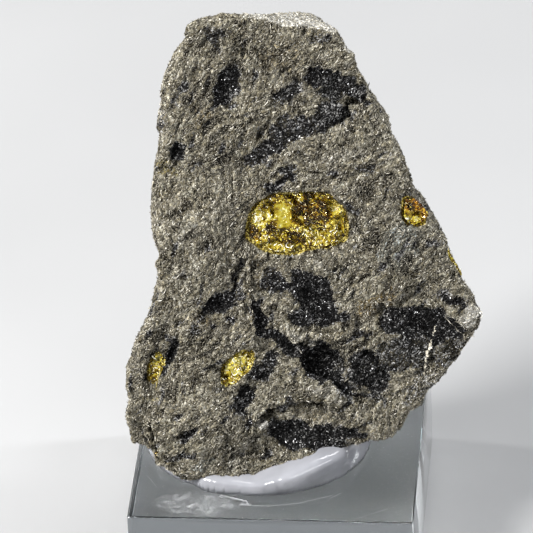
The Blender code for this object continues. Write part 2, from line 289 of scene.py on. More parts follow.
# What the broken face shows, in millimetres on the face.
# A patch is x, z, half length, half width, tilt in degrees, strength.
# A streak is its path, half width, strength.
facePatches = {
    # coal, and black painted shade put as coal in some cracks and under some ledges
    "coal": (
        (-1.0, 51.1, 1.4, 1.0, 90, 0.6), (0.2, 45.1, 2.7, 1.3, 66, 1.0), (-4.7, 45.2, 0.9, 0.7, 30, 0.65),
        (-5.5, 44.0, 0.7, 0.45, 70, 0.7), (-5.1, 38.0, 1.1, 0.9, 60, 1.0), (-6.8, 40.7, 0.6, 0.35, 90, 0.8),
        (6.9, 44.7, 1.7, 1.0, 30, 0.75), (11.2, 41.8, 2.0, 1.7, 20, 0.76), (10.7, 50.7, 1.4, 0.6, -10, 0.6),
        (11.6, 44.4, 1.8, 0.9, -20, 0.68),
        (10.2, 20.9, 3.7, 2.0, -62, 1.0), (9.2, 21.4, 2.8, 1.7, -70, 0.95), (8.5, 23.4, 1.4, 0.9, -30, 0.9),
        (6.6, 22.5, 1.5, 0.8, 0, 0.85), (8.9, 18.7, 1.6, 1.0, 0, 0.95), (12.7, 18.7, 1.2, 0.9, 0, 1.0),
        (10.7, 13.2, 2.2, 1.3, -25, 1.0), (5.3, 23.0, 1.5, 1.2, 80, 0.75), (-0.5, 20.5, 1.8, 1.2, 25, 0.95),
        (-3.1, 17.5, 0.9, 0.8, 0, 0.5), (16.1, 12.3, 3.0, 2.1, -60, 0.8), (12.3, 13.7, 1.1, 0.8, 20, 1.0),
        (16.0, 14.3, 1.0, 0.7, 10, 1.0), (4.6, 12.9, 2.0, 1.1, 45, 0.75), (1.9, 9.2, 1.9, 1.2, 60, 0.95),
        (22.0, 18.0, 4.6, 2.0, -10, 1.0), (18.6, 18.2, 1.4, 1.2, 0, 1.0), (19.9, 14.6, 3.5, 2.1, 10, 0.6),
        (24.9, 20.8, 1.9, 0.8, -25, 0.9), (24.8, 14.8, 2.4, 1.4, 50, 0.5), (21.6, 10.4, 2.6, 1.1, 40, 0.45),
        (21.3, 21.9, 0.55, 0.3, 0, 1.0), (23.0, 27.4, 0.8, 0.4, 0, 0.8), (9.0, 4.8, 4.7, 1.7, -12, 0.95),
        (13.6, 5.1, 2.7, 0.8, -8, 0.9),
        (2.8, 6.7, 0.6, 0.7, 0, 0.9), (-4.1, 5.4, 1.3, 0.5, 35, 0.9), (15.7, 6.8, 0.8, 0.3, 10, 0.8),
        (-1.3, 17.9, 0.55, 0.4, 0, 1.0), (0.7, 18.7, 0.55, 0.4, 0, 0.95), (-4.4, 23.8, 0.8, 0.25, 15, 0.75),
        (5.2, 36.7, 0.4, 0.3, 0, 0.85), (16.1, 35.5, 0.8, 0.3, 20, 0.65), (12.0, 34.1, 0.6, 0.3, 0, 0.5),
        (-3.2, 36.8, 0.4, 0.6, 80, 0.6), (19.2, 31.0, 0.5, 0.3, 0, 0.5), (17.6, 37.2, 0.7, 0.3, 30, 0.55)),
    "rust": (
        (16.9, 20.6, 2.8, 1.0, 35, 0.9), (-2.3, 41.9, 1.8, 1.3, 60, 0.5), (6.0, 49.0, 2.4, 2.2, 0, 0.4),
        (3.5, 25.2, 0.6, 1.0, 90, 0.6), (4.9, 23.2, 1.6, 1.5, 0, 0.5), (-2.8, 18.4, 1.3, 1.2, 0, 0.5),
        (9.5, 7.2, 2.8, 0.8, -8, 0.35), (14.5, 5.6, 2.4, 0.8, 10, 0.3), (1.9, 17.6, 1.2, 1.4, 90, 0.35)),
    # pale rock, and painted light on lit lumps and ridges of the face
    "pale": (
        (27.2, 19.0, 1.2, 1.3, 0, 0.8), (20.8, 9.9, 3.9, 1.0, 40, 0.22), (11.8, 10.2, 3.0, 1.0, -12, 0.35),
        (8.6, 16.3, 3.0, 0.5, -14, 0.45), (13.0, 37.6, 3.2, 0.9, 12, 0.32), (1.5, 2.5, 2.4, 0.9, 60, 0.35),
        (-4.2, 26.0, 4.5, 2.0, 85, 0.22),
        (4.4, 6.4, 0.7, 0.4, 60, 0.8), (10.4, 25.0, 1.6, 0.5, -20, 0.35)),
    "blue": (
        (19.0, 27.3, 3.2, 2.2, 60, 0.8), (-2.2, 1.5, 1.8, 0.8, 10, 0.7), (11.1, 41.7, 2.0, 1.7, 20, 0.5),
        (-1.0, 51.1, 1.5, 1.1, 90, 0.5), (19.9, 14.0, 3.0, 1.6, 10, 0.4)),
    "stain": ((-7.0, 36.2, 1.1, 1.8, 80, 0.8), (-8.0, 9.3, 0.4, 1.2, 80, 0.7), (-7.3, 33.4, 0.7, 1.0, 90, 0.4)),
}
faceStreaks = {
    # coal, and black painted shade put as coal in some cracks and under some ledges
    "coal": (
        (((9.6, 46.7), (12.0, 46.1), (14.2, 44.8), (15.7, 44.1)), 0.95, 0.82),
        (((10.9, 41.6), (8.2, 40.6), (5.8, 39.0), (3.4, 37.2)), 1.05, 0.74),
        (((6.7, 41.6), (5.6, 40.2)), 0.6, 0.7), (((12.9, 41.0), (13.3, 42.6)), 0.35, 1.0),
        (((4.8, 33.7), (7.2, 34.9)), 0.5, 0.8), (((9.7, 12.5), (12.0, 12.2), (14.2, 9.9)), 0.75, 1.0),
        (((3.6, 20.2), (3.9, 17.4), (5.8, 16.2), (7.2, 14.9), (9.4, 14.3), (11.0, 15.0)), 0.9, 1.0),
        (((4.4, 7.3), (6.2, 8.2), (8.1, 8.6), (10.7, 8.6)), 0.38, 1.0), (((2.5, 21.7), (2.7, 18.4)), 0.14, 0.8),
        (((-6.0, 16.1), (-5.6, 15.3), (-6.2, 13.5), (-7.1, 12.1)), 0.5, 0.85),
        (((0.9, 22.0), (1.0, 23.5), (2.0, 25.4)), 0.28, 1.0), (((2.3, 50.1), (1.8, 48.7)), 0.2, 0.75),
        (((-8.3, 5.5), (-7.9, 4.0)), 0.25, 1.0)),
    "rust": ((((2.6, 22.4), (2.7, 19.0)), 0.25, 0.8),),
    "pale": ((((15.6, 18.9), (20.0, 21.9)), 0.18, 0.5),),
}
# Crevices cut into the face and raised seams: path, half width, depth; a raised one has a negative depth. The
# crevices are also made black with painted shade.
faceCracks = (
    (((-8.4, 6.2), (-8.2, 5.2), (-7.9, 4.0), (-7.8, 2.2)), 0.34, 1.3),
    (((2.2, 25.4), (1.2, 23.2)), 0.42, 0.9), (((1.2, 23.2), (0.9, 20.9)), 0.2, 0.5),
    (((9.4, 13.6), (12.0, 12.9)), 1.0, 1.3), (((15.4, 14.4), (16.7, 14.2)), 0.7, 0.7),
    (((3.6, 6.3), (5.2, 7.7)), 0.45, 1.1), (((5.2, 7.9), (8.1, 8.6), (10.6, 8.5)), 0.42, 0.9),
    (((9.4, 17.1), (11.2, 16.9), (12.4, 17.3)), 0.22, 0.5),
    (((9.4, 12.9), (12.0, 12.1), (14.2, 9.9), (15.2, 9.2)), 0.5, 1.1),
    (((12.8, 41.2), (13.5, 42.0), (13.3, 43.3), (16.2, 44.1)), 0.34, 1.1),
    (((2.4, 24.0), (2.3, 21.0), (2.45, 18.6)), 0.16, 0.45),
    (((-5.0, 4.8), (-3.2, 6.0)), 0.4, 0.45),
    (((-5.2, 16.6), (-5.7, 15.0), (-6.5, 13.0)), 0.3, 0.6),
    (((9.2, 47.2), (11.6, 46.7), (14.6, 44.9)), 0.3, 0.5),
    (((16.4, 19.0), (18.6, 20.0), (20.6, 21.4)), 0.3, 0.45),
    (((2.2, 50.4), (1.8, 48.6)), 0.2, 0.5),
    (((-4.9, 23.6), (-3.7, 23.9)), 0.2, 0.5),
    (((2.5, 25.4), (2.74, 21.9), (2.85, 19.7), (3.08, 17.4), (2.97, 15.3)), 0.22, -0.3),
)


def pathDistance(path, x, z):
    nearest = np.full(len(x), 1e9)
    for (ax, az), (bx, bz) in zip(path, path[1:]):
        runX, runZ = bx - ax, bz - az
        along = np.clip(((x - ax) * runX + (z - az) * runZ) / (runX * runX + runZ * runZ), 0.0, 1.0)
        nearest = np.minimum(nearest, np.hypot(x - ax - along * runX, z - az - along * runZ))
    return nearest


def faceMask(kind, x, z):
    # how much of one kind of patch there is at each place on the face
    soft = stone["patchSoftness"]
    most = np.zeros(len(x))
    for px, pz, halfLength, halfWidth, tilt, strength in facePatches[kind]:
        turn = math.radians(tilt)
        along = ((x - px) * math.cos(turn) + (z - pz) * math.sin(turn)) / halfLength
        aside = ((z - pz) * math.cos(turn) - (x - px) * math.sin(turn)) / halfWidth
        off = (np.hypot(along, aside) - 1.0) * halfWidth
        most = np.maximum(most, strength * softStep(soft, -soft, off))
    for path, halfWidth, strength in faceStreaks.get(kind, ()):
        off = pathDistance(path, x, z) - halfWidth
        most = np.maximum(most, strength * softStep(0.6 * soft, -0.6 * soft, off))
    return most


# The stone
stone = {
    "voxel": 0.27, "smoothing": 3,
    "fibreTurn": 54.0, "fibreLength": 2.4, "swirl": 1.5,
    "lumpSize": 3.0, "lumpHeight": 0.18, "plateSize": 4.2, "plateSteps": 7.0, "plateDrop": 0.36,
    "ridgeSize": 1.2, "ridgeHeight": 0.15, "grainSize": 0.78, "grainHeight": 0.12,
    "pitSize": 1.3, "pitDepth": 0.4, "coalSink": 0.18,
    "plateEdge": 0.22, "pitFrom": (0.42, 0.68), "grainCell": 0.27, "fineCell": 0.14,
    "glintFrom": 0.84, "chipFrom": 0.95,
    "patchSoftness": 0.3, "patchWarp": ((1.5, 0.75), (0.5, 0.35)), "crackWaver": 0.2,
    "frontFacing": (0.1, 0.45), "topFacing": (0.55, 0.8), "topHeight": (45.0, 48.0), "litTopFrom": (1.6, 3.4),
    "noCoalFrom": (46.0, 49.0), "liningReach": 0.55, "liningLift": 0.08,
    "lensCalm": 0.8, "sideCalm": 0.45, "topCalm": 0.6,
}
lensNodes = (
    "resin_centre_lens", "resin_lower_lens", "resin_left_lens", "resin_right_edge_lens", "resin_right_rim")


def lensTree():
    # all the lenses as one shape, for asking how far a place is from resin
    shape = bmesh.new()
    for node in lensNodes:
        shape.from_mesh(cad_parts[node].data)
    return treeOf(shape)


def fibreSpots(spots):
    # places squeezed along the grain, so that noise read there runs along it
    turn = math.radians(stone["fibreTurn"])
    swirl = noiseAt(spots, 5.0) * stone["swirl"]
    x, z = spots[:, 0] + swirl, spots[:, 2] - swirl
    along = x * math.cos(turn) + z * math.sin(turn)
    aside = z * math.cos(turn) - x * math.sin(turn)
    return np.stack((along / stone["fibreLength"], spots[:, 1], aside), 1)


def stoneMasks(spots, front, grain):
    warp = [np.zeros(len(spots)), np.zeros(len(spots))]
    for size, amount in stone["patchWarp"]:
        for axis in (0, 1):
            warp[axis] += noiseAt(spots, size, 11.0 + 7.0 * axis) * amount
    x, z = spots[:, 0] + warp[0], spots[:, 2] + warp[1]
    masks = {kind: faceMask(kind, x, z) * front for kind in facePatches}
    ragged = noiseAt(grain, 3.2, 5.0) + 0.35 * noiseAt(grain, 1.1, 6.0) + 0.2 * noiseAt(spots, 0.5, 6.0)
    elsewhere = softStep(0.24, 0.42, ragged) * (1.0 - front) * 0.95
    specks = softStep(0.34, 0.5, noiseAt(grain, 0.9, 9.0)) * 0.65
    top = softStep(*stone["noCoalFrom"], spots[:, 2])
    masks["coal"] = np.maximum.reduce((masks["coal"], elsewhere * (1.0 - top), specks * (1.0 - 0.7 * top)))
    return masks


def stoneHeights(spots, grain, coal):
    # the broken surface's height in millimetres, and how much painted shade each place gets for lying deep in a
    # crevice
    lumps = np.array([noise.fractal(spot, 0.9, 2.1, 3) for spot in (spots / stone["lumpSize"]).tolist()])
    ridges = 0.35 - 2.0 * np.abs(noiseAt(grain, stone["ridgeSize"]))
    fine = noiseAt(grain, stone["grainSize"], 4.0)
    pits = softStep(*stone["pitFrom"], noiseAt(grain, stone["pitSize"], 7.0))
    # flat plates with sharp edges between them, as the layers broke off
    layers = noiseAt(grain, stone["plateSize"], 3.0) * stone["plateSteps"]
    level = np.floor(layers)
    plates = (level + softStep(0.0, stone["plateEdge"], layers - level) - layers) * stone["plateDrop"]
    rough = ridges * stone["ridgeHeight"] * (1.0 - 0.5 * coal) + fine * stone["grainHeight"]
    foot = softStep(0.14, 0.03, layers - level)
    # painted shade: darker in low grain, in pits and at the foot of each plate's edge
    crevice = np.maximum.reduce((softStep(0.0, -0.16, rough), pits * 0.8, foot * 0.7))
    sunk = pits * stone["pitDepth"] + coal * stone["coalSink"]
    return lumps * stone["lumpHeight"] + plates + rough - sunk, crevice


def carveStone():
    mesh = remeshed(cadCopy("sandstone_matrix"), "stone_body", stone["voxel"])
    shape = shapeFrom(mesh)
    for _ in range(stone["smoothing"]):
        smoothOnce(shape)
    shape.normal_update()
    spots = np.array([worldToFace @ vert.co for vert in shape.verts])
    normals = np.array([vert.normal for vert in shape.verts]) @ np.array(faceTurn)
    front = softStep(*stone["frontFacing"], -normals[:, 1])
    grain = fibreSpots(spots)
    masks = stoneMasks(spots, front, grain)
    heights, masks["crevice"] = stoneHeights(spots, grain, masks["coal"])
    cracks = np.zeros(len(spots))
    waver = stone["crackWaver"] * noiseAt(spots, 0.8, 2.0)
    for path, halfWidth, depth in faceCracks:
        off = pathDistance(path, spots[:, 0] + waver, spots[:, 2]) / halfWidth
        cracks += depth * front * np.clip(1.0 - off * off, 0.0, 1.0)
    # the cut cracks get the same painted shade
    masks["crevice"] = np.maximum(masks["crevice"], softStep(0.2, 0.6, cracks))
    top = softStep(*stone["topFacing"], normals[:, 2]) * softStep(*stone["topHeight"], spots[:, 2])
    # upward faces of the top turn pale from a given x on: painted light where light falls on them
    masks["pale"] = np.maximum(masks["pale"], top * softStep(*stone["litTopFrom"], spots[:, 0]))
    tree = lensTree()
    near = [tree.find_nearest(vert.co) for vert in shape.verts]
    gap = np.array([found[3] for found in near]) / mm
    cover = np.array([(found[0] - vert.co).dot(vert.normal) for found, vert in zip(near, shape.verts)]) / mm
    close = softStep(stone["liningReach"], 0.6 * stone["liningReach"], gap)
    # painted glow: the pocket wall just under the resin is coloured golden, standing for light reflected inside
    # the resin
    masks["lining"] = close * softStep(0.05, 0.2, cover)
    calm = (1.0 - stone["lensCalm"] * close) * (1.0 - stone["sideCalm"] * (1.0 - front))
    calm *= 1.0 - stone["topCalm"] * top
    moves = (heights - cracks) * calm + masks["lining"] * stone["liningLift"]
    for vert, move in zip(shape.verts, moves.tolist()):
        vert.co += vert.normal * (move * mm)
    shape.to_mesh(mesh)
    shape.free()
    for kind, values in masks.items():
        setMask(mesh, kind, values)
    setMask(mesh, "front", front)
    mesh.shade_smooth()
    return mesh


def stoneMaterial():
    g = Graph("broken_sandstone")
    place = g.place()
    wavy = g.warp(place, 3.4, 2.8)
    fibres = g.stretch(wavy, stone["fibreTurn"], 1.8)
    grains = g.cells(fibres, stone["grainCell"], "Color")
    grainEdge = g.cells(fibres, stone["grainCell"])
    fine = g.cells(place, stone["fineCell"], "Color")
    grainTone = g.channel(grains, "Red")
    fineTone = g.channel(fine, "Red")
    mottle = g.noise(wavy, 1.4, 3.0)
    broad = g.noise(place, 6.0, 2.0)
    tone = grainTone * 0.52 + fineTone * 0.36 + mottle * 0.5 + (broad - 0.5) * 0.4 - 0.19
    # painted shade in crevices, cracks and pits
    tone = tone - g.mask("crevice") * 0.36
    colour = g.ramp(tone, (
        (0.10, (0.006, 0.0053, 0.0035)), (0.28, (0.032, 0.028, 0.019)), (0.46, (0.112, 0.100, 0.071)),
        (0.64, (0.205, 0.188, 0.140)), (0.82, (0.40, 0.375, 0.30)), (1.0, (0.80, 0.78, 0.69))))
    brokenEdge = (mottle - 0.5) * 0.9 + (fineTone - 0.5) * 0.5 + (grainTone - 0.5) * 0.35
    tints = (
        ("rust", 0.85, (0.86, 0.70, 0.44)), ("blue", 0.8, (0.80, 0.93, 1.16)),
        ("stain", 0.7, (1.08, 0.97, 0.48)))
    for name, most, tint in tints:
        part = (g.mask(name) + brokenEdge * 0.45).step(0.2, 0.85)
        colour = g.blend(part * most, colour, g.blend(1.0, colour, tint, "MULTIPLY"))
    grainTint = g.ramp(g.channel(grains, "Blue"), (
        (0.1, (1.05, 1.0, 0.88)), (0.5, (1.0, 1.0, 1.0)), (0.9, (0.95, 1.0, 1.06))))
    colour = g.blend(0.7, colour, g.blend(1.0, colour, grainTint, "MULTIPLY"))
    # coal, and black painted shade in some cracks and under some ledges
    coal = (g.mask("coal") + brokenEdge).step(0.40, 0.58)
    coalAndShadeTone = fineTone * 0.75 + grainTone * 0.35 + (g.noise(place, 1.1, 2.0) - 0.5) * 0.7
    coalAndShadeTone = coalAndShadeTone + (1.0 - g.mask("coal")) * 0.4
    coalAndShadeColour = g.ramp(coalAndShadeTone, (
        (0.0, (0.001, 0.001, 0.001)), (0.55, (0.004, 0.004, 0.004)), (0.80, (0.014, 0.0137, 0.014)),
        (0.94, (0.07, 0.069, 0.067)), (1.0, (0.26, 0.256, 0.25))))
    colour = g.blend(coal, colour, coalAndShadeColour)
    # pale rock, and painted light on lit lumps, ridges and the top
    pale = (g.mask("pale") + brokenEdge * 0.6).step(0.2, 0.8)
    paleAndLitColour = g.ramp(tone, ((0.15, (0.16, 0.155, 0.14)), (0.75, (0.60, 0.59, 0.56))))
    colour = g.blend(pale * 0.85, colour, paleAndLitColour)
    # painted glow under the resin: the pocket wall turns from dark brown to golden and pale lemon
    lining = g.ramp(fineTone * 0.6 + mottle * 0.5 + (g.noise(place, 2.2, 1.0) - 0.5) * 0.8, (
        (0.42, (0.020, 0.012, 0.002)), (0.66, (0.18, 0.13, 0.014)), (0.92, (0.75, 0.64, 0.22))))
    colour = g.blend(g.mask("lining").step(0.45, 0.85), colour, lining)
    sparkle = g.channel(fine, "Green")
    glint = sparkle > stone["glintFrom"]
    chip = coal * (sparkle > stone["chipFrom"])
    colour = g.blend(chip, colour, (0.28, 0.28, 0.29))
    roughness = 0.85 - glint * 0.5 - coal * 0.4 * (1.0 - glint)
    height = mottle * 0.6 + fineTone * 0.3 - grainEdge * 0.7
    normal = g.bump(height, 0.32, 1.0, g.facet(fine, 0.8))
    return g.finish({
        "Base Color": colour, "Roughness": roughness, "Metallic": chip, "Normal": normal, "IOR": 1.45,
        "Specular IOR Level": 0.06})


# Loose-standing grains of the broken surface
grainKinds = {
    "front_grains": {
        "count": 24000, "length": (0.22, 0.72), "width": (0.09, 0.19), "height": (0.07, 0.16), "tilt": 0.5,
        "sink": 0.1, "coal": (0.0, 0.42), "front": (0.2, 1.1), "bias": 0.0, "seed": 11},
    "front_flakesAndHighlights": {
        "count": 24000, "length": (0.16, 0.42), "width": (0.07, 0.15), "height": (0.05, 0.12), "tilt": 0.8,
        "sink": 0.3, "coal": (0.0, 0.5), "front": (0.2, 1.1), "bias": 0.06, "seed": 13},
    "side_grains": {
        "count": 24000, "length": (0.25, 0.8), "width": (0.10, 0.22), "height": (0.07, 0.16), "tilt": 0.5,
        "sink": 0.1, "coal": (0.0, 0.42), "front": (-0.1, 0.2), "bias": 0.0, "seed": 17},
    "coal_grains": {
        "count": 10000, "length": (0.14, 0.40), "width": (0.07, 0.20), "height": (0.06, 0.15), "tilt": 0.8,
        "sink": 0.15, "coal": (0.42, 1.1), "front": (-0.1, 1.1), "bias": 0.0, "seed": 23},
}


def pointsAndFaces(shape):
    bmesh.ops.triangulate(shape, faces=shape.faces[:])
    shape.verts.index_update()
    points = np.array([vert.co[:] for vert in shape.verts])
    faces = np.array([[vert.index for vert in face.verts] for face in shape.faces])
    shape.free()
    return points, faces


def octahedron():
    # the smallest crystal-like grain: a four-sided double cone
    shape = bmesh.new()
    bmesh.ops.create_cone(shape, cap_ends=False, segments=4, radius1=0.5, radius2=0.0, depth=0.5)
    rim = [edge for edge in shape.edges if edge.is_boundary]
    low = bmesh.ops.extrude_edge_only(shape, edges=rim)
    tip = [item for item in low["geom"] if isinstance(item, bmesh.types.BMVert)]
    bmesh.ops.translate(shape, verts=tip, vec=(0.0, 0.0, -0.5))
    bmesh.ops.pointmerge(shape, verts=tip, merge_co=(0.0, 0.0, -0.75))
    bmesh.ops.translate(shape, verts=shape.verts[:], vec=(0.0, 0.0, 0.25))
    bmesh.ops.recalc_face_normals(shape, faces=shape.faces[:])
    return pointsAndFaces(shape)


def fibreRod():
    # a three-sided rod of five lengths, thinner towards both ends
    shape = bmesh.new()
    bmesh.ops.create_cone(shape, cap_ends=True, segments=3, radius1=0.5, radius2=0.5, depth=1.0)
    along = [edge for edge in shape.edges if abs(edge.verts[0].co.z - edge.verts[1].co.z) > 0.5]
    bmesh.ops.subdivide_edges(shape, edges=along, cuts=4)
    for vert in shape.verts:
        vert.co.xy *= 1.0 - 3.0 * vert.co.z ** 2
    bmesh.ops.recalc_face_normals(shape, faces=shape.faces[:])
    return pointsAndFaces(shape)


def manyOf(name, small, place, ways, sizes, bend=None):
    # one mesh of many copies of a small shape, each with its own three directions and sizes
    points, faces = small
    grown = place[:, None, :] + sum(
        points[None, :, axis, None] * (way * (size * mm)[:, None])[:, None, :]
        for axis, (way, size) in enumerate(zip(ways, sizes)))
    if bend is not None:
        grown += (ways[0] * (bend * mm)[:, None])[:, None, :] * (4.0 * points[None, :, 2, None] ** 2)
    indices = faces[None] + (np.arange(len(place)) * len(points))[:, None, None]
    mesh = bpy.data.meshes.new(name)
    mesh.from_pydata(grown.reshape(-1, 3).tolist(), [], indices.reshape(-1, 3).tolist())
    return mesh


def pickSpots(body, kind, rng):
    # random places on the stone, with the way out of it, along the grain and across it
    count = len(body.polygons)
    centres, normals = np.empty(count * 3), np.empty(count * 3)
    body.polygons.foreach_get("center", centres)
    body.polygons.foreach_get("normal", normals)
    corners = np.empty(count * 4, np.int64)
    body.polygons.foreach_get("vertices", corners)
    first = corners.reshape(-1, 4)[:, 0]
    masks = {mask: getMask(body, mask)[first] for mask in ("coal", "lining", "pale", "front", "crevice")}
    allowed = masks["lining"] < 0.2
    for mask in ("coal", "front"):
        allowed &= (masks[mask] >= kind[mask][0]) & (masks[mask] < kind[mask][1])
    allowed = np.flatnonzero(allowed)
    picked = rng.choice(allowed, min(kind["count"], len(allowed)), replace=False)
    total = len(picked)
    outward = unit(normals.reshape(-1, 3)[picked] + rng.normal(0.0, kind["tilt"] * 0.6, (total, 3)))
    turn = math.radians(stone["fibreTurn"])
    fibre = np.array(faceTurn @ Vector((math.cos(turn), 0.0, math.sin(turn))))
    run = laidOn(outward, fibre + rng.normal(0.0, 0.6, (total, 3)))
    across = np.cross(outward, run)
    shift = rng.uniform(-0.5, 0.5, (2, total, 1)) * stone["voxel"] * mm
    place = centres.reshape(-1, 3)[picked] + run * shift[0] + across * shift[1]
    # grains are paler on pale rock and painted light, and darker with painted shade in crevices
    tone = 0.3 * masks["pale"][picked] - 0.2 * masks["crevice"][picked]
    return place, outward, run, across, tone


def scatterGrains(name, kind, body, material):
    rng = np.random.default_rng(kind["seed"])
    place, outward, run, across, tone = pickSpots(body, kind, rng)
    spread = rng.random((3, len(place))) ** 1.8
    sizes = [between(kind[side], part) for side, part in zip(("length", "width", "height"), spread)]
    place = place + outward * (sizes[2] * mm * kind["sink"])[:, None]
    small = octahedron()
    mesh = manyOf(name, small, place, (run, across, outward), sizes)
    shade = rng.beta(1.0, 1.75, len(place)) + kind["bias"] + tone
    setMask(mesh, "shade", np.repeat(np.clip(shade, 0.0, 1.0), len(small[0])))
    newPiece(name, mesh, material)
    print(name, len(place), "grains", len(mesh.polygons), "triangles")


# Thin fibres all over the broken face, and the broken white lines that cross it:
# the path of a line on the face, the spacing of its fibres, their length, thickness and how far they stray
fibreKinds = {
    "pale_fibres": {
        "count": 2600, "coal": (0.0, 0.3), "front": (0.2, 1.1), "tilt": 0.4, "seed": 41, "shade": (0.6, 0.98),
        "length": (0.25, 0.95), "thick": (0.04, 0.09), "bend": 0.25, "lines": (
            (((2.7, 27.0), (2.42, 25.3), (2.6, 23.8), (2.74, 21.9), (2.85, 19.7), (3.08, 17.4), (2.97, 15.3)),
             0.26, 0.4, 0.10, 0.5),
            (((2.5, 27.2), (2.2, 26.2), (2.15, 25.2)), 0.3, 0.3, 0.18, 0.6),
            (((24.2, 18.8), (25.0, 18.0), (26.0, 17.1), (26.6, 16.5)), 0.22, 0.45, 0.07, 0.15),
            (((23.3, 17.5), (22.7, 15.7)), 0.26, 0.3, 0.2, 0.7),
            (((22.7, 15.7), (22.4, 14.4)), 0.12, 0.36, 0.46, 1.0),
            (((22.4, 14.4), (22.0, 11.8)), 0.22, 0.34, 0.32, 1.0),
            (((8.0, 15.2), (8.6, 14.2)), 0.2, 0.5, 0.06, 0.2),
            (((7.0, 17.0), (8.2, 16.2)), 0.2, 0.6, 0.08, 0.2))},
    "coal_fibres": {
        "count": 900, "coal": (0.42, 1.1), "front": (0.2, 1.1), "tilt": 0.4, "seed": 43, "shade": (0.62, 0.9),
        "length": (0.3, 1.0), "thick": (0.04, 0.08), "bend": 0.3, "lines": ()},
}


def lineSpots(body, lines, rng):
    # places along lines of the face, dropped on the stone's surface, with some left out at random
    tree = treeOf(shapeFrom(body))
    inward = faceTurn @ Vector((0.0, 1.0, 0.0))
    rows = []
    for path, spacing, length, thick, stray in lines:
        for start, end in zip(path, path[1:]):
            step = Vector((end[0] - start[0], 0.0, end[1] - start[1]))
            for part in np.arange(0.0, step.length, spacing):
                x, y, z = Vector((start[0], -8.0, start[1])) + step * (part / step.length)
                x += rng.normal(0.0, 0.03 + 0.1 * stray)
                hit, normal, _, _ = tree.ray_cast(faceToWorld @ Vector((x, y, z)), inward)
                if hit is not None and rng.random() > 0.2:
                    rows.append((hit, normal, faceTurn @ step.normalized(), length, thick, stray))
    place, outward, run, length, thick, stray = columns(rows)
    run = laidOn(outward, run + rng.normal(0.0, 1.0, run.shape) * stray[:, None])
    vary = rng.uniform(0.6, 1.3, (2, len(rows)))
    return place, outward, run, length * vary[0], thick * vary[1]


def buildFibres(name, kind, body, material):
    rng = np.random.default_rng(kind["seed"])
    place, outward, run, _, _ = pickSpots(body, kind, rng)
    total = len(place)
    length = between(kind["length"], rng.random(total) ** 2.2)
    thick = rng.uniform(*kind["thick"], total)
    if kind["lines"]:
        parts = zip((place, outward, run, length, thick), lineSpots(body, kind["lines"], rng))
        place, outward, run, length, thick = (np.concatenate(pair) for pair in parts)
    place = place + outward * (thick * mm * 0.3)[:, None]
    bend = length * kind["bend"] * rng.normal(0.0, 1.0, len(place))
    bend[total:] *= 0.3
    small = fibreRod()
    ways = (np.cross(outward, run), outward, run)
    mesh = manyOf(name, small, place, ways, (thick, thick, length), bend)
    setMask(mesh, "shade", np.repeat(rng.uniform(*kind["shade"], len(place)), len(small[0])))
    newPiece(name, mesh, material)
    print(name, len(place), "fibres", len(mesh.polygons), "triangles")


# What the grains and fibres look like, from the darkest to the palest
grainFinishes = {
    "sand_grain": {"roughness": 0.6, "gloss": 0.5, "stops": (
        (0.0, (0.010, 0.009, 0.006)), (0.3, (0.078, 0.069, 0.049)), (0.6, (0.19, 0.172, 0.13)),
        (0.85, (0.44, 0.41, 0.34)), (1.0, (0.80, 0.78, 0.72)))},
    "coal_grain": {"roughness": 0.3, "gloss": 0.08, "stops": (
        (0.0, (0.001, 0.001, 0.001)), (0.45, (0.004, 0.004, 0.004)), (0.75, (0.017, 0.0165, 0.0165)),
        (1.0, (0.26, 0.255, 0.25)))},
}


def grainMaterial(name):
    looks = grainFinishes[name]
    g = Graph(name)
    shade = g.mask("shade")
    fine = g.cells(g.place(), 0.12, "Color")
    colour = g.ramp(shade * 0.85 + g.channel(fine, "Red") * 0.2, looks["stops"])
    return g.finish({
        "Base Color": colour, "Roughness": looks["roughness"] - 0.25 * shade, "Normal": g.facet(fine, 0.35),
        "IOR": 1.55, "Specular IOR Level": looks["gloss"]})


def buildStone():
    mesh = carveStone()
    body = newPiece("stone_body", mesh, stoneMaterial())
    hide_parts("sandstone_matrix")
    print("stone body", len(mesh.polygons), "faces")
    sand, coal = (grainMaterial(name) for name in grainFinishes)
    for name, kind in grainKinds.items():
        scatterGrains(name, kind, mesh, coal if name == "coal_grains" else sand)
    for name, kind in fibreKinds.items():
        buildFibres(name, kind, mesh, coal if name == "coal_fibres" else sand)
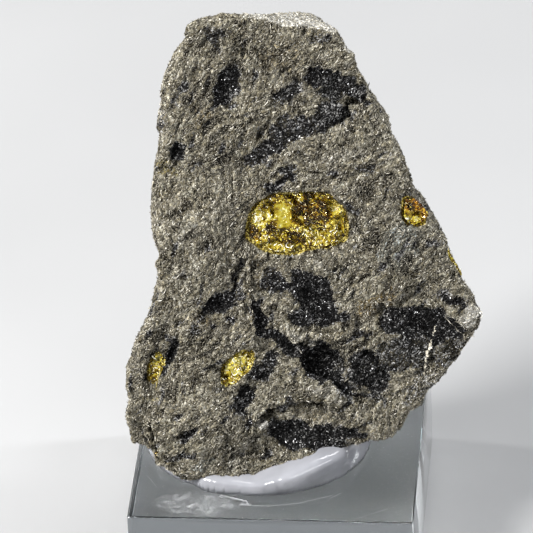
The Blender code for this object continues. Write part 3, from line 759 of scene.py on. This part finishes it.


# The resin lenses: crazed, with flat breaks in front.
# A zone is x, z, half width, half height on the face, and how much paler or darker the resin is there.
# An orange part is given in the same way. A flat break ends in its slant in degrees instead.
# The zones and lifts that make the resin paler are painted glow, standing for light reflected inside the crazed
# resin; the darker browns are its own colour.
resin = {
    "voxel": 0.14, "swell": 0.04, "crust": 0.34, "shaped": 0.6, "below": 0.55, "flatDrop": 0.12,
    "ripples": ((0.4, 0.10), (0.2, 0.05)), "sharpAngle": 28.0,
    "resin_centre_lens": {
        "lift": 0.0, "flakesAndHighlights": 1050, "cells": 34, "deepest": 0.7, "tilt": 0.55, "seed": 5, "veils": 20,
        "flat": ((6.35, 30.55, 0.95, 1.5, 8.0),),
        "orange": ((9.4, 31.0, 2.4, 1.9, 0.4), (3.0, 28.4, 0.9, 1.0, 0.4)),
        "zones": (
            (6.35, 30.6, 1.0, 1.5, 0.36), (3.9, 30.6, 1.2, 0.7, 0.42), (9.4, 31.0, 2.3, 1.9, -0.36),
            (5.0, 29.2, 0.7, 0.6, -0.5), (3.2, 28.3, 0.9, 1.0, -0.3), (7.8, 28.0, 1.4, 0.8, -0.28),
            (12.4, 30.2, 1.1, 2.1, 0.3), (2.6, 28.6, 0.7, 0.9, -0.3), (4.3, 28.9, 0.4, 1.2, 0.2),
            (9.4, 28.7, 0.8, 0.6, 0.35), (10.7, 27.7, 1.4, 0.6, 0.05),
            (6.0, 26.9, 1.9, 0.5, 0.22), (7.5, 33.0, 3.6, 0.4, -0.15))},
    "resin_lower_lens": {
        "lift": 0.12, "flakesAndHighlights": 110, "cells": 12, "deepest": 0.45, "tilt": 0.5, "seed": 8, "veils": 6,
        "zones": ((1.4, 13.0, 1.3, 1.6, 0.25), (0.2, 11.4, 0.6, 0.6, -0.1))},
    "resin_left_lens": {
        "lift": 0.10, "flakesAndHighlights": 70, "cells": 9, "deepest": 0.35, "tilt": 0.5, "seed": 3, "veils": 4,
        "zones": ((-7.6, 13.2, 0.7, 0.9, 0.25), (-7.4, 10.6, 0.5, 0.7, -0.1))},
    "resin_right_edge_lens": {
        "lift": 0.06, "flakesAndHighlights": 70, "cells": 9, "deepest": 0.35, "tilt": 0.5, "seed": 6, "veils": 4,
        "orange": ((20.9, 32.0, 1.8, 1.1, 0.9), (22.3, 30.6, 0.9, 1.1, 0.8)),
        "zones": ((20.9, 32.0, 1.6, 0.9, -0.36), (22.2, 30.7, 0.8, 0.9, -0.25), (20.2, 30.0, 0.8, 0.8, 0.25))},
    "resin_right_rim": {
        "lift": 0.15, "grow": 0.3, "flakesAndHighlights": 25, "cells": 7, "deepest": 0.25, "tilt": 0.4, "seed": 9,
        "veils": 2, "facing": (0.89, 0.10, 0.44), "zones": ()},
}


# A crumb of resin at the stone's lower left corner: its place on the face, its radius and its lumps
bleb = {"at": (-7.5, 0.5, 2.75), "size": 0.34, "lumps": 0.25, "uneven": 0.35}


def crazeLens(node, settings):
    shape = cadCopy(node)
    shape.normal_update()
    for vert in shape.verts:
        vert.co += vert.normal * (resin["swell"] + settings.get("grow", 0.0)) * mm
    centre = sum((vert.co for vert in shape.verts), Vector()) / len(shape.verts)
    facing = faceTurn @ Vector(settings.get("facing", (0.0, -1.0, 0.0))).normalized()
    mesh = remeshed(shape, node.replace("resin", "amber"), resin["voxel"])
    reach = max((vert.co - centre).dot(facing) for vert in mesh.vertices)
    front = reach - resin["crust"] * mm
    dice = random.Random(settings["seed"])
    surface = [vert.co for vert in mesh.vertices if (vert.co - centre).dot(facing) > front]
    seeds = []
    for _ in range(settings["cells"]):
        tilt = Vector([dice.gauss(0.0, settings["tilt"]) for _ in range(3)])
        place = surface[dice.randrange(len(surface))].copy()
        seeds.append((place, (facing + tilt).normalized(), dice.random() ** 1.5))
    for vert in mesh.vertices:
        height = (vert.co - centre).dot(facing)
        if height < front - resin["shaped"] * mm:
            continue
        flat = vert.co - facing * height
        place, normal, depth = min(
            seeds, key=lambda seed: (flat - seed[0] + facing * (seed[0] - centre).dot(facing)).length)
        level = min((place - flat).dot(normal) / max(normal.dot(facing), 0.3), front)
        lowest = front - (settings["deepest"] + resin["below"]) * mm
        level = max(level - depth * settings["deepest"] * mm, lowest)
        level += sum(noise.noise(vert.co / (size * mm)) * lift for size, lift in resin["ripples"]) * mm
        spot = worldToFace @ vert.co
        for x, z, halfWidth, halfHeight, slant in settings.get("flat", ()):
            if abs(spot.x - x) < halfWidth and abs(spot.z - z) < halfHeight:
                drop = resin["flatDrop"] + math.tan(math.radians(slant)) * (spot.x - x + halfWidth)
                level = front - drop * mm
        if height > level:
            vert.co = flat + facing * level
    mesh.shade_smooth()
    mesh.set_sharp_from_angle(angle=math.radians(resin["sharpAngle"]))
    return mesh, centre, facing


def tintLens(mesh, settings):
    # where the resin is pale, dark, orange or smoothly broken
    spots = np.array([worldToFace @ vert.co for vert in mesh.vertices])
    x, z = spots[:, 0], spots[:, 2]
    wobble = noiseAt(spots, 0.7) * 0.5
    tone = np.full(len(spots), 0.5 + settings["lift"])
    planar, orange = np.zeros(len(spots)), np.zeros(len(spots))
    for atX, atZ, halfWidth, halfHeight, change in settings["zones"]:
        off = np.hypot((x - atX) / halfWidth, (z - atZ) / halfHeight) + wobble
        tone += change * softStep(1.15, 0.75, off)
    for atX, atZ, halfWidth, halfHeight, most in settings.get("orange", ()):
        off = np.hypot((x - atX) / halfWidth, (z - atZ) / halfHeight) + wobble
        orange = np.maximum(orange, most * softStep(1.15, 0.6, off))
    for atX, atZ, halfWidth, halfHeight, _ in settings.get("flat", ()):
        planar[(np.abs(x - atX) < halfWidth) & (np.abs(z - atZ) < halfHeight)] = 1.0
    for name, values in (("tone", np.clip(tone, 0.0, 1.0)), ("planar", planar), ("orange", orange)):
        setMask(mesh, name, values)


def resinMaterial():
    g = Graph("golden_resin")
    place = g.place()
    cells = g.cells(place, 0.5, "Color")
    fine = g.cells(place, 0.2, "Color")
    mottle = g.noise(g.warp(place, 0.8, 0.6), 0.6, 3.0)
    loose = 1.0 - g.mask("planar") * 0.5
    speckle = (g.channel(cells, "Red") - 0.5) * 0.42 + (g.channel(fine, "Green") - 0.5) * 0.42
    speckle = speckle + (mottle - 0.5) * 1.1
    tone = g.mask("tone") * 0.66 + speckle * loose + 0.075
    # browns and ambers are the resin's colour; the palest lemon and cream stops are painted glow from light
    # reflected inside it
    colour = g.ramp(tone, (
        (0.14, (0.010, 0.004, 0.001)), (0.32, (0.105, 0.048, 0.003)), (0.46, (0.38, 0.25, 0.010)),
        (0.60, (0.70, 0.56, 0.035)), (0.78, (0.90, 0.82, 0.15)), (0.92, (1.0, 0.97, 0.60))))
    colour = g.blend(g.mask("orange"), colour, g.blend(1.0, colour, (1.15, 0.66, 0.9), "MULTIPLY"))
    normal = g.bump((g.channel(fine, "Blue") * 0.5 + mottle) * loose, 0.16, 0.6, g.facet(fine, loose * 0.55))
    clear = g.node("ShaderNodeVolumeAbsorption", None, {"Color": (1.0, 0.86, 0.16, 1.0), "Density": 380.0})
    return g.finish({
        "Base Color": colour, "Roughness": 0.06 + g.channel(fine, "Red") * 0.14, "Normal": normal,
        "IOR": 1.54, "Transmission Weight": 0.6, "Specular IOR Level": 0.65,
        "Specular Tint": (1.0, 0.9, 0.55, 1.0)}, clear)


def veilReflectionMaterial():
    g = Graph("resin_veil_reflection")
    tone = g.noise(g.place(), 0.5, 2.0)
    # painted reflection: amber to near white, for light reflected off the crack faces
    colour = g.ramp(tone, ((0.35, (0.55, 0.42, 0.04)), (0.6, (0.95, 0.88, 0.35)), (0.8, (1.0, 0.98, 0.8))))
    return g.finish({"Base Color": colour, "Roughness": 0.25, "IOR": 1.3, "Specular IOR Level": 0.7})


def addVeils(shape, settings, centre, facing, mesh):
    # thin cracks inside the resin, seen as bright plates; their pale colour is painted reflection off the crack
    # faces
    dice = random.Random(settings["seed"] + 50)
    inner = [vert.co for vert in mesh.vertices]
    for _ in range(settings["veils"]):
        start = inner[dice.randrange(len(inner))]
        place = centre.lerp(start, 0.15 + 0.4 * dice.random()) - facing * (0.5 * mm)
        lean = (facing + Vector([dice.gauss(0.0, 0.6) for _ in range(3)])).normalized()
        size = (0.15 + 0.3 * dice.random()) * mm
        turned = Matrix.Translation(place) @ lean.to_track_quat("Z", "Y").to_matrix().to_4x4()
        made = bmesh.ops.create_cone(
            shape, cap_ends=True, segments=5 + dice.randrange(3), radius1=size, radius2=0.9 * size,
            depth=0.03 * mm, matrix=turned)
        for vert in made["verts"]:
            vert.co += (vert.co - place) * dice.uniform(-0.3, 0.3)


def flakeAndHighlightMaterial():
    g = Graph("resin_flake_and_highlight")
    shade = g.mask("shade")
    # dark brown spots up to cream white: the cream white end is painted highlight
    colour = g.ramp(shade, (
        (0.1, (0.03, 0.012, 0.001)), (0.4, (0.36, 0.24, 0.010)), (0.65, (0.88, 0.76, 0.14)),
        (0.88, (1.0, 0.99, 0.82))))
    return g.finish({
        "Base Color": colour, "Roughness": 0.3 - shade * 0.15, "IOR": 1.54, "Specular IOR Level": 0.6,
        "Specular Tint": (1.0, 0.95, 0.75, 1.0)})


def addFlakesAndHighlights(name, settings, facing, mesh, material):
    # slivers and curls of broken resin on a lens's front, bright where the resin is pale; the bright cream ones
    # are painted highlights, the dark ones are the resin's own brown spots
    rng = np.random.default_rng(settings["seed"] + 90)
    toward = np.array(facing)
    centres = np.array([face.center for face in mesh.polygons])
    normals = np.array([face.normal for face in mesh.polygons])
    first = [face.vertices[0] for face in mesh.polygons]
    tone, planar = (getMask(mesh, mask)[first] for mask in ("tone", "planar"))
    ahead = centres @ toward
    onFront = (normals @ toward > 0.0) & (ahead > ahead.max() - 2.4 * mm)
    allowed = np.flatnonzero(onFront & (planar < rng.random(len(planar)) * 1.15))
    picked = rng.choice(allowed, min(settings["flakesAndHighlights"], len(allowed)), replace=False)
    total = len(picked)
    outward = unit(normals[picked] + rng.normal(0.0, 0.3, (total, 3)))
    run = unit(np.cross(outward, rng.normal(0.0, 1.0, (total, 3))))
    grow = 0.7 + 0.7 * tone[picked]
    length = (0.16 + 0.5 * rng.random(total) ** 2) * grow
    thick = rng.uniform(0.05, 0.14, total) * grow
    bend = length * rng.normal(0.0, 0.28, total)
    small = fibreRod()
    ways = (np.cross(outward, run), outward, run)
    made = manyOf(name, small, centres[picked], ways, (thick, 0.7 * thick, length), bend)
    shade = np.clip(rng.beta(0.7, 0.85, total) * 0.95 + 0.9 * (tone[picked] - 0.5), 0.0, 1.0)
    setMask(made, "shade", np.repeat(shade, len(small[0])))
    newPiece(name, made, material)


def buildBleb(material):
    shape = bmesh.new()
    foot = faceToWorld @ Vector(bleb["at"])
    bmesh.ops.create_icosphere(shape, subdivisions=3, radius=bleb["size"] * mm, matrix=Matrix.Translation(foot))
    for vert in shape.verts:
        vert.co += (vert.co - foot) * noise.noise(vert.co / (bleb["lumps"] * mm)) * bleb["uneven"]
    newPiece("amber_bleb", meshFrom(shape, "amber_bleb"), material)


def buildResin():
    material = resinMaterial()
    flakesAndHighlights = flakeAndHighlightMaterial()
    veils = bmesh.new()
    for node in lensNodes:
        mesh, centre, facing = crazeLens(node, resin[node])
        tintLens(mesh, resin[node])
        lens = newPiece(mesh.name, mesh, material)
        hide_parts(node)
        addVeils(veils, resin[node], centre, facing, mesh)
        addFlakesAndHighlights(node.replace("resin", "flakesAndHighlights"), resin[node], facing, mesh, flakesAndHighlights)
        print(node, len(mesh.polygons), "faces")
    newPiece("resin_veils", meshFrom(veils, "resin_veils"), veilReflectionMaterial())
    buildBleb(material)


# The putty: a soft glossy pad pressed between base and stone.
# A ridge runs along its front, through places across and up from the base's underside.
putty = {
    "voxel": 0.22, "smoothing": 40, "foot": 0.2, "drop": 0.29, "lift": 0.5,
    "ripple": 0.06, "rippleSize": (5.0, 5.0, 2.0),
    "ridgeHeight": 0.7, "ridgeWidth": 0.9, "ridgeFrom": (-3.0, -5.0),
    "ridge": ((-7.5, 13.7), (-3.6, 14.05), (-1.1, 14.35), (1.4, 14.6), (3.6, 14.9), (5.6, 15.0), (7.5, 15.0))}


def puttyMaterial():
    g = Graph("white_putty")
    place = g.place()
    haze = g.noise(place, 3.0, 2.0)
    colour = g.ramp(haze, ((0.3, (0.19, 0.194, 0.213)), (0.7, (0.25, 0.255, 0.277))))
    return g.finish({
        "Base Color": colour, "Roughness": 0.12 + haze * 0.10, "IOR": 1.5, "Coat Weight": 0.5,
        "Coat Roughness": 0.04, "Normal": g.bump(haze, 0.1, 0.2)})


def buildPutty():
    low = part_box("mounting_putty")[0]
    mesh = remeshed(cadCopy("mounting_putty"), "putty_pad", putty["voxel"])
    shape = shapeFrom(mesh)
    bottom = [vert for vert in shape.verts if vert.co.z < low.z + putty["foot"] * mm]
    for _ in range(putty["smoothing"]):
        smoothOnce(shape)
        for vert in bottom:
            vert.co.z = low.z
    shape.normal_update()
    spots = np.array([vert.co for vert in shape.verts]) / mm
    off = pathDistance(putty["ridge"], spots[:, 0], spots[:, 2]) / putty["ridgeWidth"]
    raised = putty["ridgeHeight"] * np.exp(-off * off) * softStep(*putty["ridgeFrom"], spots[:, 1])
    for vert, height in zip(shape.verts, raised.tolist()):
        vert.co += Vector((vert.normal.x, vert.normal.y, vert.normal.z + 0.4)).normalized() * height * mm
        ripple = noise.noise(Vector([along / (size * mm) for along, size in zip(vert.co, putty["rippleSize"])]))
        if vert.normal.z > -0.2:
            vert.co += vert.normal * ripple * putty["ripple"] * mm
        if vert.normal.z > 0.35:
            vert.co.z += putty["lift"] * mm
    for vert in bottom:
        vert.co.z = low.z - putty["drop"] * mm
    shape.to_mesh(mesh)
    shape.free()
    mesh.shade_smooth()
    pad = newPiece("putty_pad", mesh, puttyMaterial())
    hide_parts("mounting_putty")
    print("putty", len(mesh.polygons), "faces")


# The clear base: a polished block with rounded edges
base = {"edge": 0.3, "segments": 4, "sharpAngle": 40.0}


def acrylicMaterial():
    g = Graph("clear_acrylic")
    place = g.place()
    wiped = g.noise(place, 6.0, 4.0).step(0.55, 0.8)
    scratch = g.noise(g.stretch(place, 35.0, 30.0), 0.25, 2.0).step(0.68, 0.74)
    clear = g.node("ShaderNodeVolumeAbsorption", None, {"Color": (0.86, 0.93, 0.95, 1.0), "Density": 6.0})
    return g.finish({
        "Base Color": (0.97, 0.985, 0.99, 1.0), "Roughness": 0.01 + wiped * 0.05 + scratch * 0.12, "IOR": 1.49,
        "Transmission Weight": 1.0, "Normal": g.bump(wiped, 0.01, 0.15)}, clear)


def buildBase():
    low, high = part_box("acrylic_base")
    shape = bmesh.new()
    bmesh.ops.create_cube(shape, size=1.0)
    bmesh.ops.scale(shape, verts=shape.verts[:], vec=high - low)
    bmesh.ops.translate(shape, verts=shape.verts[:], vec=(low + high) / 2)
    bmesh.ops.bevel(
        shape, geom=shape.edges[:], offset=base["edge"] * mm, offset_type="OFFSET", segments=base["segments"],
        profile=0.5, affect="EDGES", material=-1)
    mesh = meshFrom(shape, "clear_block")
    mesh.shade_smooth()
    mesh.set_sharp_from_angle(angle=math.radians(base["sharpAngle"]))
    block = newPiece("clear_block", mesh, acrylicMaterial())
    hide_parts("acrylic_base")


# Dust and fine scratches on the clear top: the path of a scratch and its thickness
dust = {"count": 1500, "size": (0.03, 0.10), "inset": 0.6, "seed": 31, "scratches": (
    (((-2.8, -13.3), (-0.1, -13.35), (3.1, -12.7), (6.4, -11.3)), 0.028), (((9.9, -15.1), (12.9, -13.4)), 0.02),
    (((6.6, -11.6), (7.4, -10.9)), 0.04), (((-14.2, -8.6), (-13.2, -10.2)), 0.02))}
# A thin smear of putty in its front left corner, and the curl that it ends in
smear = {
    "middle": (-8.6, -13.1), "half": (6.2, 2.6), "turn": 3.0, "thick": 0.02, "curlThick": 0.5, "curlSunk": 0.08,
    "curl": ((-5.6, -11.7), (-4.6, -12.0), (-3.6, -12.3), (-2.8, -12.6), (-2.6, -13.1), (-3.4, -13.2))}


rods = {"spacing": 0.35, "length": 0.75, "flatness": 0.6}        # of scratches and curl


def pathRods(name, lines, level):
    # thin rods end to end along paths on the base's top
    rows = []
    for path, thick in lines:
        for start, end in zip(path, path[1:]):
            step = Vector((end[0] - start[0], end[1] - start[1], 0.0))
            for part in np.arange(0.0, 1.0, rods["spacing"] / step.length):
                rows.append(((*(Vector(start) + step.xy * part), level / mm), step.normalized(), thick))
    place, run, thick = columns(rows)
    up = np.tile((0.0, 0.0, 1.0), (len(rows), 1))
    sizes = (thick, rods["flatness"] * thick, np.full(len(rows), rods["length"]))
    return manyOf(name, fibreRod(), place * mm, (np.cross(up, run), up, run), sizes)


def buildDust():
    low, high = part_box("acrylic_base")
    rng = np.random.default_rng(dust["seed"])
    total = dust["count"]
    inset = dust["inset"] * mm
    place = np.stack((
        rng.uniform(low.x + inset, high.x - inset, total), rng.uniform(low.y + inset, high.y - inset, total),
        np.full(total, high.z)), 1)
    size = between(dust["size"], rng.random((total, 3)) ** 3.0)
    axes = [np.tile(np.eye(3)[axis], (total, 1)) for axis in range(3)]
    mesh = manyOf("base_dust", octahedron(), place, axes, [size[:, axis] for axis in range(3)])
    g = Graph("dust")
    tone = g.noise(g.place(), 1.0, 1.0)
    colour = g.ramp(tone, ((0.3, (0.55, 0.55, 0.56)), (0.7, (0.85, 0.85, 0.86))))
    material = g.finish({"Base Color": colour, "Roughness": 0.8})
    newPiece("base_dust", mesh, material)
    newPiece("base_scratches", pathRods("base_scratches", dust["scratches"], high.z), material)


def buildSmear():
    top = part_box("acrylic_base")[1].z
    turn = Matrix.Rotation(math.radians(smear["turn"]), 4, "Z")
    x, y = smear["middle"]
    shape = bmesh.new()
    bmesh.ops.create_grid(
        shape, x_segments=44, y_segments=18, size=1.0,
        matrix=Matrix.Translation((x * mm, y * mm, top)) @ turn @ Matrix.Diagonal(
            (smear["half"][0] * mm, smear["half"][1] * mm, 1.0, 1.0)))
    raised = bmesh.ops.extrude_face_region(shape, geom=shape.faces[:])
    lifted = [item for item in raised["geom"] if isinstance(item, bmesh.types.BMVert)]
    bmesh.ops.translate(shape, verts=lifted, vec=(0.0, 0.0, smear["thick"] * mm))
    bmesh.ops.recalc_face_normals(shape, faces=shape.faces[:])
    mesh = meshFrom(shape, "putty_smear")
    spots = np.array([vert.co for vert in mesh.vertices]) / mm
    off = np.hypot((spots[:, 0] - x) / smear["half"][0], (spots[:, 1] - y) / smear["half"][1])
    off += 0.3 * noiseAt(spots, 1.8) + 0.15 * noiseAt(spots, 0.7)
    setMask(mesh, "cover", softStep(1.0, 0.35, off))
    g = Graph("putty_smear")
    place = g.place()
    streaks = g.noise(g.stretch(g.warp(place, 1.5, 1.6), -20.0, 2.0), 0.45, 4.0)
    patchy = g.noise(place, 0.9, 3.0).step(0.3, 0.75)
    cover = g.mask("cover") * (streaks.step(0.4, 0.8) * 0.3 + 0.08) * (patchy * 0.8 + 0.3)
    colour = g.ramp(streaks, ((0.3, (0.40, 0.405, 0.415)), (0.7, (0.62, 0.625, 0.64))))
    newPiece("putty_smear", mesh, g.finish({"Base Color": colour, "Roughness": 0.5, "Alpha": cover}))


def buildCurl():
    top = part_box("acrylic_base")[1].z
    curl = pathRods("putty_curl", ((smear["curl"], smear["curlThick"]),), top - smear["curlSunk"] * mm)
    g = Graph("thin_putty")
    colour = g.ramp(g.noise(g.place(), 0.5, 2.0), ((0.3, (0.20, 0.204, 0.215)), (0.7, (0.28, 0.285, 0.30))))
    newPiece("putty_curl", curl, g.finish({"Base Color": colour, "Roughness": 0.6}))


# The floor, light and camera
light = {
    "key": {"at": (-0.34, -0.22, 0.38), "size": (0.16, 0.16), "power": 7.2, "colour": (1.0, 0.985, 0.96)},
    "left_strip": {"at": (-0.36, 0.06, 0.20), "size": (0.04, 0.30), "power": 1.0, "colour": (1.0, 0.99, 0.97)},
    "right_strip": {"at": (0.34, 0.08, 0.22), "size": (0.04, 0.30), "power": 1.3, "colour": (0.97, 0.985, 1.0)},
    "front_strip": {"at": (0.22, -0.42, 0.40), "size": (0.50, 0.06), "power": 1.2, "colour": (1.0, 1.0, 1.0)},
    "top": {"at": (0.06, 0.12, 0.42), "size": (0.25, 0.12), "power": 1.1, "colour": (1.0, 1.0, 1.0)},
}


# The floor's half width in metres and its gap under the base, the height the lights aim at, the room's glow
room = {"floor": 2.0, "gap": 0.05, "aim": 38.0, "colour": (0.9, 0.95, 1.0), "glow": 0.22}


def buildStage():
    shape = bmesh.new()
    bmesh.ops.create_grid(shape, x_segments=1, y_segments=1, size=room["floor"])
    bmesh.ops.translate(shape, verts=shape.verts[:], vec=(0.0, 0.0, -room["gap"] * mm))
    mesh = meshFrom(shape, "floor")
    g = Graph("pale_floor")
    tone = g.noise(g.place(), 40.0, 2.0)
    colour = g.ramp(tone, ((0.3, (0.27, 0.272, 0.277)), (0.7, (0.285, 0.287, 0.292))))
    mesh.materials.append(g.finish({"Base Color": colour, "Roughness": 0.75}))
    floor = bpy.data.objects.new("floor", mesh)
    stage.objects.link(floor)
    aim = Vector((0.0, 0.0, room["aim"])) * mm
    for name, lamp in light.items():
        data = bpy.data.lights.new(name, "AREA")
        data.shape = "RECTANGLE"
        data.size, data.size_y = lamp["size"]
        data.energy = lamp["power"]
        data.color = lamp["colour"]
        holder = bpy.data.objects.new(name, data)
        stage.objects.link(holder)
        holder.location = lamp["at"]
        holder.rotation_mode = "QUATERNION"
        holder.rotation_quaternion = (Vector(lamp["at"]) - aim).to_track_quat("Z", "Y")
    world = bpy.data.worlds.new("soft_room")
    world.use_nodes = True
    glow = world.node_tree.nodes["Background"].inputs
    glow["Color"].default_value = (*room["colour"], 1.0)
    glow["Strength"].default_value = room["glow"]
    bpy.context.scene.world = world
    bpy.context.scene.view_settings.view_transform = "Standard"


# Angles in degrees; distance and offsets from the middle of the base's top, and the lens, in millimetres
view = {
    "turn": 6.463, "rise": 35.951, "roll": -2.769,
    "distance": 619.9, "right": -1.655, "up": 18.676, "lens": 371.5}


def buildCamera():
    turn, rise, roll = (math.radians(view[key]) for key in ("turn", "rise", "roll"))
    back = Vector((math.sin(turn) * math.cos(rise), -math.cos(turn) * math.cos(rise), math.sin(rise)))
    level = Vector((0.0, 0.0, 1.0)).cross(back).normalized()
    plumb = back.cross(level)
    right = math.cos(roll) * level + math.sin(roll) * plumb
    up = -math.sin(roll) * level + math.cos(roll) * plumb
    target = Vector((0.0, 0.0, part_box("acrylic_base")[1].z))
    place = target + (back * view["distance"] + right * view["right"] + up * view["up"]) * mm
    camera = bpy.data.objects.new("camera", bpy.data.cameras.new("camera"))
    stage.objects.link(camera)
    camera.matrix_world = Matrix.Translation(place) @ Matrix((right, up, back)).transposed().to_4x4()
    camera.data.sensor_width = 36.0
    camera.data.lens = view["lens"]
    camera.data.clip_start = 0.01
    bpy.context.scene.camera = camera


buildCamera()
buildStage()
print("stage and camera ready")
buildStone()
buildResin()
buildPutty()
buildBase()
buildDust()
buildSmear()
buildCurl()
print("base, dust and smear ready")
